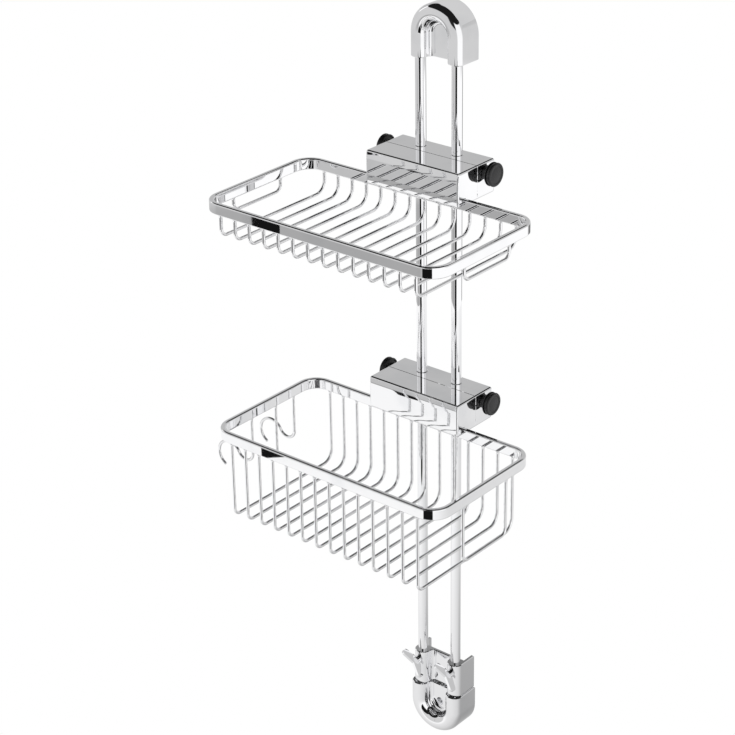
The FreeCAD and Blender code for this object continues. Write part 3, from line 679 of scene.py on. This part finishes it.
def upright_card(name, centre, facing, wide, heights, material):
    """A card that stands upright and faces a point, hidden from the camera."""
    away = np.array(facing) - np.array(centre)
    across = np.array([-away[1], away[0]]) / np.hypot(*away) * wide / 2.0
    left, right = np.array(centre) - across, np.array(centre) + across
    low, high = heights
    corners = [(*left, low), (*right, low), (*right, high), (*left, high)]
    flat_piece(name, corners, material).visible_camera = False


def wall_ring(graph, bearing, walls):
    """Brightness round the room: stops of (degrees from the camera's bearing, brightness)."""
    stops = [((turn + 180) / 360.0, grey) for turn, grey in walls]
    return graph.node("ShaderNodeValToRGB", {"stops": stops}, {0: bearing})


def above(graph, up, edges):
    """0 below the first elevation and 1 above the second."""
    low, high = [math.sin(math.radians(edge)) for edge in edges]
    return graph.step(up, low, high)


def blend(mask, below, over):
    """The first brightness where the mask is 0 and the second where it is 1."""
    return below * (1.0 - mask) + over * mask


def build_world(studio):
    """A white room for the camera; for reflections, walls by bearing and a dark ceiling.

    Bearings are degrees from the camera's own, left negative.
    """
    world = bpy.data.worlds.new("studio")
    bpy.context.scene.world = world
    world.use_nodes = True
    graph = Graph(world.node_tree)
    way = graph.node("ShaderNodeTexCoord", output=0)
    east, north, up = graph.parts(way)
    bearing = graph.node("ShaderNodeMath", {"operation": "ARCTAN2"}, {0: north, 1: east})
    zero = math.degrees(studio.turn) - 90.0
    turned = graph.node("ShaderNodeMapRange", {}, {"Value": bearing - math.radians(zero),
                                                   "From Min": -math.pi, "From Max": math.pi})
    wrapped = graph.node("ShaderNodeMath", {"operation": "FRACT"}, {0: turned})
    left, right, upper = studio.left_wall, studio.right_wall, studio.upper_wall
    low_walls = [(-180, left), (-100, left * 0.98), (-84, left * 0.84), (-62, left * 0.8), (-50, left),
                 (-4, right), (118, right), (132, 0.2), (158, 0.2), (172, left)]
    high_walls = [(-180, upper), (-6, upper), (4, right), (62, right), (74, upper), (172, upper)]
    lowest_walls = [(turn, grey * (LOWEST_LEFT_DIM if turn < -45 else 1.0)) for turn, grey in low_walls]
    rear_walls = [(-180, studio.rear), (-158, studio.rear), (-152, studio.softbox), (-124, studio.softbox),
                  (-118, upper), (-40, upper), (-36, 0.02), (-4, 0.02), (2, right), (62, right),
                  (74, upper), (118, studio.rear), (172, studio.rear)]
    lowest_ring, low_ring, high_ring, rear_ring = [wall_ring(graph, wrapped, walls) for walls
                                                   in (lowest_walls, low_walls, high_walls, rear_walls)]
    room = blend(above(graph, up, LOWEST_TO_LOW), lowest_ring, low_ring)
    room = blend(above(graph, up, LOW_TO_HIGH), room, high_ring)
    room = blend(above(graph, up, HIGH_TO_REAR), room, rear_ring)
    room = blend(above(graph, up, REAR_TO_CEILING), room, CEILING_GREY)
    seen = graph.node("ShaderNodeLightPath", output=0)
    brightness = blend(seen, room, 1.0)
    shine = graph.node("ShaderNodeBackground", {}, {"Color": (1.0, 1.0, 1.0, 1.0), "Strength": brightness})
    graph.node("ShaderNodeOutputWorld", {}, {"Surface": shine})


def build_camera(studio):
    """The camera looks at the target from where it stands, turned level and then rolled."""
    back = (CAMERA_STAND - CAMERA_TARGET).normalized()
    level = Vector((math.cos(studio.turn), math.sin(studio.turn), 0.0))
    rise = back.cross(level)
    right = math.cos(studio.roll) * level + math.sin(studio.roll) * rise
    up = math.cos(studio.roll) * rise - math.sin(studio.roll) * level
    lens = bpy.data.cameras.new("camera")
    lens.lens = studio.lens
    lens.sensor_width = SENSOR_WIDTH
    lens.clip_end = FAR_LIMIT
    camera = bpy.data.objects.new("camera", lens)
    bpy.context.scene.collection.objects.link(camera)
    rows = [(right[axis], up[axis], back[axis], CAMERA_STAND[axis]) for axis in range(3)]
    camera.matrix_world = Matrix((*rows, (0.0, 0.0, 0.0, 1.0)))
    bpy.context.scene.camera = camera


def build_floor(studio):
    """A pale round floor, and just above it what the chrome mirrors in its place."""
    spin = np.linspace(0.0, 2.0 * np.pi, 96, endpoint=False)
    ring = np.stack([np.cos(spin), np.sin(spin)], axis=1) * studio.floor_radius
    flat_piece("floor", [(*point, -studio.floor_drop) for point in ring], glow("floor_white", 1.0))
    lifted = [(*point, SHADE_LIFT - studio.floor_drop) for point in ring]
    flat_piece("floor_shade", lifted, floor_shade()).visible_camera = False


def build_cards(studio):
    """The cards that only the chrome sees: a black stripe, two narrow ones and a grey one on top."""
    black = glow("card_black", BLACK_CARD)
    bearing = studio.turn - QUARTER + math.radians(STRIPE_BEARING)
    stripe = (STRIPE_AWAY * math.cos(bearing), STRIPE_AWAY * math.sin(bearing))
    upright_card("stripe_card", stripe, (0.0, 0.0), STRIPE_WIDTH, STRIPE_HEIGHTS, black)
    for name, heights in NARROW_CARDS.items():
        upright_card(name, NARROW_PLACE, NARROW_AIM, NARROW_WIDTH, heights, black)
    left, right = CROWN_SIDES
    low, high = CROWN_HEIGHTS
    corners = [(left, CROWN_BEHIND, low), (right, CROWN_BEHIND, low),
               (right, CROWN_BEHIND, high), (left, CROWN_BEHIND, high)]
    flat_piece("crown_card", corners, glow("card_grey", GREY_CARD)).visible_camera = False


class CADDY_OT_studio(bpy.types.Operator):
    """Make the pale floor, the cards, the studio's walls and the camera"""
    bl_idname = "caddy.studio"
    bl_label = "Studio"

    def execute(self, context):
        studio = context.scene.caddy_studio
        build_floor(studio)
        build_cards(studio)
        build_world(studio)
        build_camera(studio)
        context.scene.view_settings.view_transform = "Standard"
        return {"FINISHED"}


STEPS = (CADDY_OT_studio, CADDY_OT_castings, CADDY_OT_bowl_wires, CADDY_OT_side_loops, CADDY_OT_hooks,
         CADDY_OT_knobs)


class CADDY_PT_panel(bpy.types.Panel):
    """Lists what can be made and the sizes and finishes that go into it"""
    bl_idname = "CADDY_PT_panel"
    bl_label = "Shower caddy"
    bl_space_type = "VIEW_3D"
    bl_region_type = "UI"
    bl_category = "Caddy"

    def draw(self, context):
        for step in STEPS:
            self.layout.operator(step.bl_idname)
        for name in GROUPS:
            box = self.layout.box()
            group = getattr(context.scene, name)
            for prop in group.bl_rna.properties:
                if prop.identifier not in ("rna_type", "name"):
                    box.prop(group, prop.identifier)


GROUPS = {
    "caddy_wire_sizes": CaddyWireSizes,
    "caddy_knob_sizes": CaddyKnobSizes,
    "caddy_finishes": CaddyFinishes,
    "caddy_studio": CaddyStudio,
}


def register():
    for group in GROUPS.values():
        bpy.utils.register_class(group)
    for name, group in GROUPS.items():
        setattr(bpy.types.Scene, name, PointerProperty(type=group))
    for step in STEPS:
        bpy.utils.register_class(step)
    bpy.utils.register_class(CADDY_PT_panel)


def unregister():
    bpy.utils.unregister_class(CADDY_PT_panel)
    for step in reversed(STEPS):
        bpy.utils.unregister_class(step)
    for name, group in GROUPS.items():
        delattr(bpy.types.Scene, name)
        bpy.utils.unregister_class(group)


def main():
    register()
    bpy.ops.caddy.studio()
    bpy.ops.caddy.castings()
    bpy.ops.caddy.bowl_wires()
    bpy.ops.caddy.side_loops()
    bpy.ops.caddy.hooks()
    bpy.ops.caddy.knobs()


if __name__ == "__main__":
    main()
